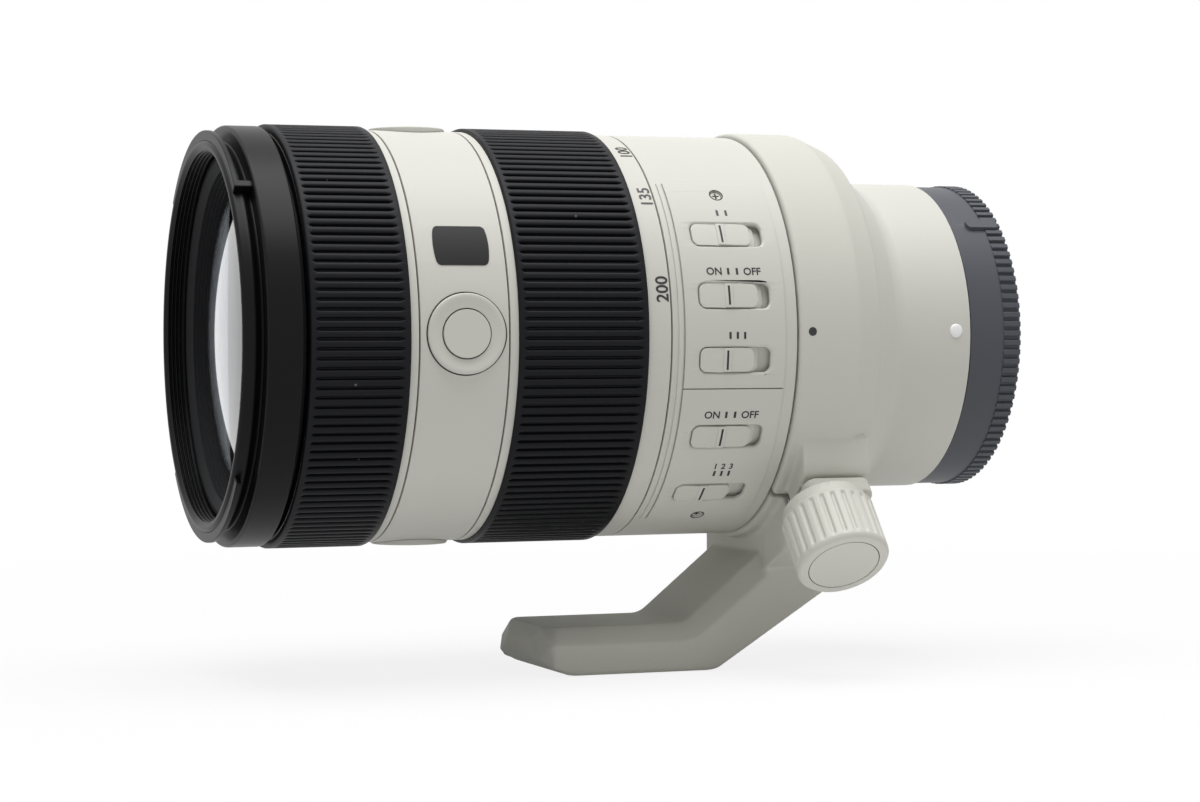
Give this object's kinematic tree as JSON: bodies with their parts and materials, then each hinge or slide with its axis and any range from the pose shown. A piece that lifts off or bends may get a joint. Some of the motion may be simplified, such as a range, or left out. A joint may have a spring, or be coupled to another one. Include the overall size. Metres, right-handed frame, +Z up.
{
  "type": "camera zoom lens",
  "caption": "White telephoto zoom lens with ribbed rubber focus and zoom rings, switch panel, tripod collar with foot and clamp knob, and rear cap.",
  "frame": {"origin": "centre of the rear mount's flange plane, on the optical axis", "axes": "+X from the front glass to the camera, +Z up, the switches on the -Y side"},
  "size_m": [0.1607, 0.093, 0.1078],
  "materials": {
    "white_paint": "satin warm white paint on light alloy",
    "black_metal": "satin black anodising",
    "black_rubber": "matt black rubber",
    "bare_alloy": "fine turned",
    "coated_glass": "coated glass",
    "dark_plate": "satin dark plate",
    "steel_screws": "plain steel",
    "white_bead": "smooth white",
    "grey_plastic": "matt grey",
    "board": "green board",
    "bright_mount": "bright plated",
    "black_plastic": "matt black",
    "gold_pins": "gold plated",
    "cream_plastic": "smooth cream",
    "cap_plastic": "matt dark grey"
  },
  "bodies": {
    "barrel": {"fixed_barrel": "black_metal", "front_retainer": "black_metal", "front_shell": "white_paint", "button_bezels": "white_paint", "badge_plate": "dark_plate", "rear_shell": "white_paint", "switch_panel_upper": "white_paint", "switch_panel_lower": "white_paint", "panel_screws": "steel_screws", "guide_tube": "bare_alloy", "collar_bearing": "bare_alloy", "mount_barrel": "white_paint", "mount_bead": "white_bead", "iris_housing": "black_metal", "iris_blades": "black_metal", "stabiliser_unit": "grey_plastic", "main_board": "board", "guide_rods": "steel_screws", "focus_motor": "grey_plastic", "rear_cell": "black_metal", "rear_glass": "coated_glass", "bayonet_mount": "bright_mount", "mount_screws": "steel_screws", "mount_gasket": "black_rubber", "contact_block": "black_plastic", "contact_pins": "gold_pins"},
    "focus_ring": {"focus_ring": "white_paint", "focus_grip": "black_rubber"},
    "zoom_ring": {"zoom_ring": "white_paint", "zoom_grip": "black_rubber", "cam_tube": "bare_alloy", "drive_keys": "steel_screws"},
    "front_barrel": {"inner_tube": "white_paint", "front_ring": "black_metal", "baffle_ring": "black_metal", "front_cell": "black_metal", "front_glass": "coated_glass", "second_glass": "coated_glass", "cam_followers": "gold_pins"},
    "variator": {"variator_carriage": "black_metal", "variator_glass": "coated_glass", "variator_followers": "gold_pins"},
    "focus_group": {"focus_carriage": "black_metal", "focus_glass": "coated_glass"},
    "side_button": {"hold_button_side": "grey_plastic"},
    "top_button": {"hold_button_top": "grey_plastic"},
    "bottom_button": {"hold_button_bottom": "grey_plastic"},
    "collar": {"tripod_collar": "white_paint", "collar_liner": "black_plastic", "socket_bush": "steel_screws"},
    "knob": {"clamp_knob": "white_paint", "knob_disc": "white_paint", "clamp_screw": "steel_screws"},
    "rear_cap": {"rear_cap": "cap_plastic"},
    "switch_1": {"switch_slider_1": "cream_plastic"},
    "switch_2": {"switch_slider_2": "cream_plastic"},
    "switch_3": {"switch_slider_3": "cream_plastic"},
    "switch_4": {"switch_slider_4": "cream_plastic"},
    "switch_5": {"switch_slider_5": "cream_plastic"}
  },
  "joints": [
    {"name": "zoom_turn", "type": "hinge", "parent": "barrel", "child": "zoom_ring", "pos_m": [-0.086, 0, 0], "axis": [-1, 0, 0], "range_deg": [0, 78]},
    {"name": "front_slide", "type": "slide", "parent": "barrel", "child": "front_barrel", "axis": [-1, 0, 0], "range_m": [0, 0.048]},
    {"name": "variator_slide", "type": "slide", "parent": "barrel", "child": "variator", "axis": [-1, 0, 0], "range_m": [0, 0.01]},
    {"name": "focus_turn", "type": "hinge", "parent": "barrel", "child": "focus_ring", "pos_m": [-0.128, 0, 0], "axis": [-1, 0, 0], "continuous": true},
    {"name": "focus_slide", "type": "slide", "parent": "barrel", "child": "focus_group", "axis": [1, 0, 0], "range_m": [-0.003, 0.003]},
    {"name": "side_press", "type": "slide", "parent": "barrel", "child": "side_button", "axis": [0, 1, 0], "range_m": [0, 0.0006], "stiffness_N_per_m": 300, "springref_m": -0.0003},
    {"name": "top_press", "type": "slide", "parent": "barrel", "child": "top_button", "axis": [0, 0, -1], "range_m": [0, 0.0006], "stiffness_N_per_m": 300, "springref_m": -0.0003},
    {"name": "bottom_press", "type": "slide", "parent": "barrel", "child": "bottom_button", "axis": [0, 0, 1], "range_m": [0, 0.0006], "stiffness_N_per_m": 300, "springref_m": -0.0003},
    {"name": "switch_1_slide", "type": "slide", "parent": "barrel", "child": "switch_1", "axis": [1, 0, 0], "range_m": [0, 0.0024]},
    {"name": "switch_2_slide", "type": "slide", "parent": "barrel", "child": "switch_2", "axis": [1, 0, 0], "range_m": [0, 0.0024]},
    {"name": "switch_3_slide", "type": "slide", "parent": "barrel", "child": "switch_3", "axis": [1, 0, 0], "range_m": [0, 0.0034]},
    {"name": "switch_4_slide", "type": "slide", "parent": "barrel", "child": "switch_4", "axis": [1, 0, 0], "range_m": [0, 0.0024]},
    {"name": "switch_5_slide", "type": "slide", "parent": "barrel", "child": "switch_5", "axis": [1, 0, 0], "range_m": [0, 0.0034]},
    {"name": "collar_turn", "type": "hinge", "parent": "barrel", "child": "collar", "pos_m": [-0.0333, 0, 0], "axis": [1, 0, 0], "continuous": true},
    {"name": "knob_turn", "type": "hinge", "parent": "collar", "child": "knob", "pos_m": [-0.0356, -0.03658, -0.0344], "axis": [0, -0.6626, -0.749], "range_deg": [0, 360]},
    {"name": "cap_pull", "type": "slide", "parent": "barrel", "child": "rear_cap", "axis": [1, 0, 0], "range_m": [0, 0.03]}
  ],
  "couplings": [
    {"joint": "front_slide", "follows": "zoom_turn", "m_per_rad": 0.035258},
    {"joint": "variator_slide", "follows": "zoom_turn", "m_per_rad": 0.0073455}
  ]
}
